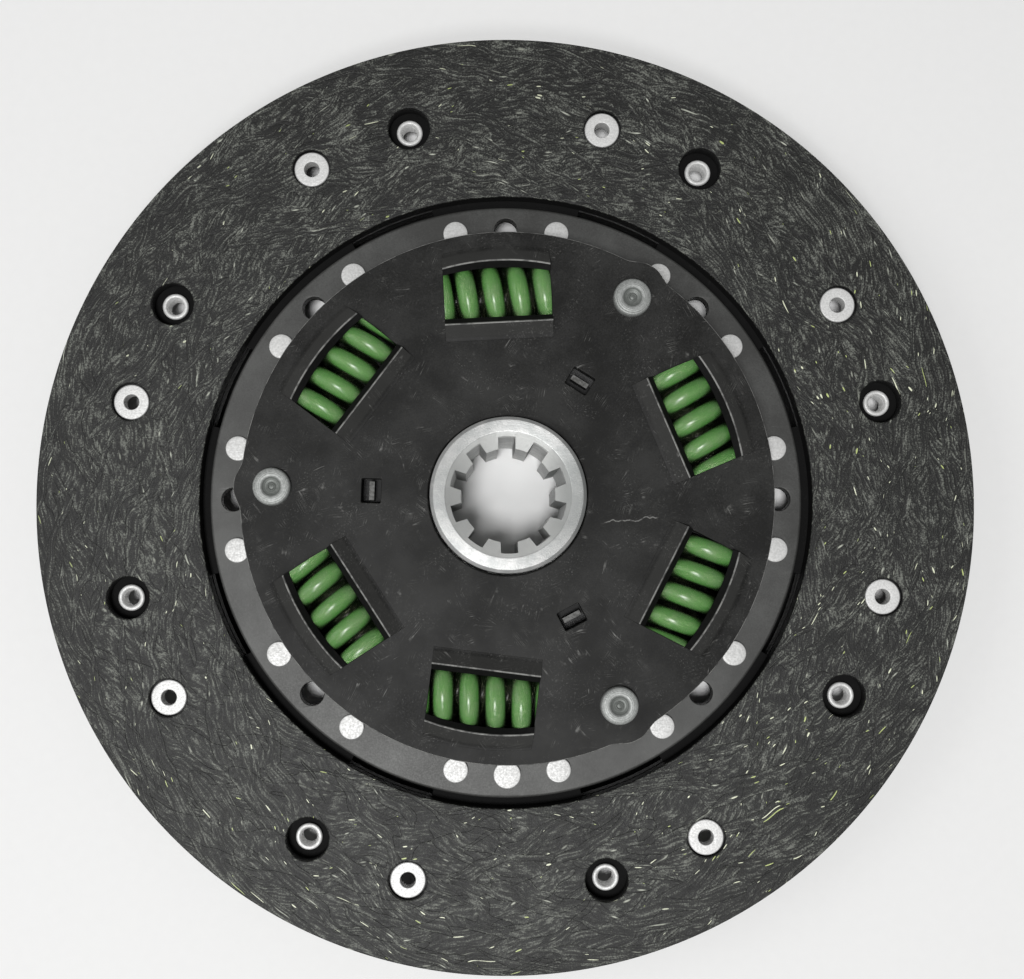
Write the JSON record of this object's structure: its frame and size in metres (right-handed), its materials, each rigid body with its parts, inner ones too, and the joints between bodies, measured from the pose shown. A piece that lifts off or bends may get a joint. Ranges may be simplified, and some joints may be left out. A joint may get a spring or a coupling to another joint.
{
  "type": "clutch disc",
  "caption": "Sprung-hub clutch disc: two riveted friction rings on waved spring segments, plates with windows for coil springs, splined hub that twists against the springs.",
  "frame": {"origin": "on the shaft axis, midway between the two friction rings", "axes": "+Z along the splined bore towards the gearbox side, where the cover plate is; +Y and +X lie in the plane of the disc, +Y through the middle of one cushion segment"},
  "size_m": [0.24, 0.24, 0.031],
  "materials": {
    "friction_lining": "ground composite of resin, glass fibre and brass chips",
    "spring_sheet": "hardened spring sheet, oiled",
    "hollow_rivet_steel": "bright plated",
    "plated_rivet_steel": "bright, satin",
    "carrier_steel": "grey phosphated sheet",
    "cover_steel": "dark nitrided sheet, satin",
    "hub_steel": "machined, fine blasted",
    "green_spring": "thin green lacquer on spring wire",
    "turned_pin_steel": "turned",
    "washer_steel": "hardened sheet",
    "friction_plastic": "filled plastic"
  },
  "bodies": {
    "disc": {"front_facing": "friction_lining", "rear_facing": "friction_lining", "cushion_segment_1": "spring_sheet", "cushion_segment_2": "spring_sheet", "cushion_segment_3": "spring_sheet", "cushion_segment_4": "spring_sheet", "cushion_segment_5": "spring_sheet", "cushion_segment_6": "spring_sheet", "cushion_segment_7": "spring_sheet", "cushion_segment_8": "spring_sheet", "front_facing_rivets": "hollow_rivet_steel", "rear_facing_rivets": "hollow_rivet_steel", "segment_rivets": "plated_rivet_steel", "balance_rivet": "plated_rivet_steel", "carrier_plate": "carrier_steel", "cover_plate": "cover_steel", "damper_spring_1": "green_spring", "damper_spring_2": "green_spring", "damper_spring_3": "green_spring", "damper_spring_4": "green_spring", "damper_spring_5": "green_spring", "damper_spring_6": "green_spring", "stop_pin_1": "turned_pin_steel", "stop_pin_2": "turned_pin_steel", "stop_pin_3": "turned_pin_steel", "support_washer": "washer_steel", "wave_spring": "washer_steel", "front_friction_ring": "friction_plastic", "rear_friction_ring": "friction_plastic", "guide_bush": "friction_plastic"},
    "hub": {"hub": "hub_steel"}
  },
  "joints": [
    {"name": "hub_twist", "type": "hinge", "parent": "disc", "child": "hub", "pos_m": [0, 0, 0], "axis": [0, 0, 1], "range_deg": [-6, 6], "stiffness_Nm_per_rad": 5400, "deforming": ["damper_spring_1", "damper_spring_2", "damper_spring_3", "damper_spring_4", "damper_spring_5", "damper_spring_6"]}
  ]
}
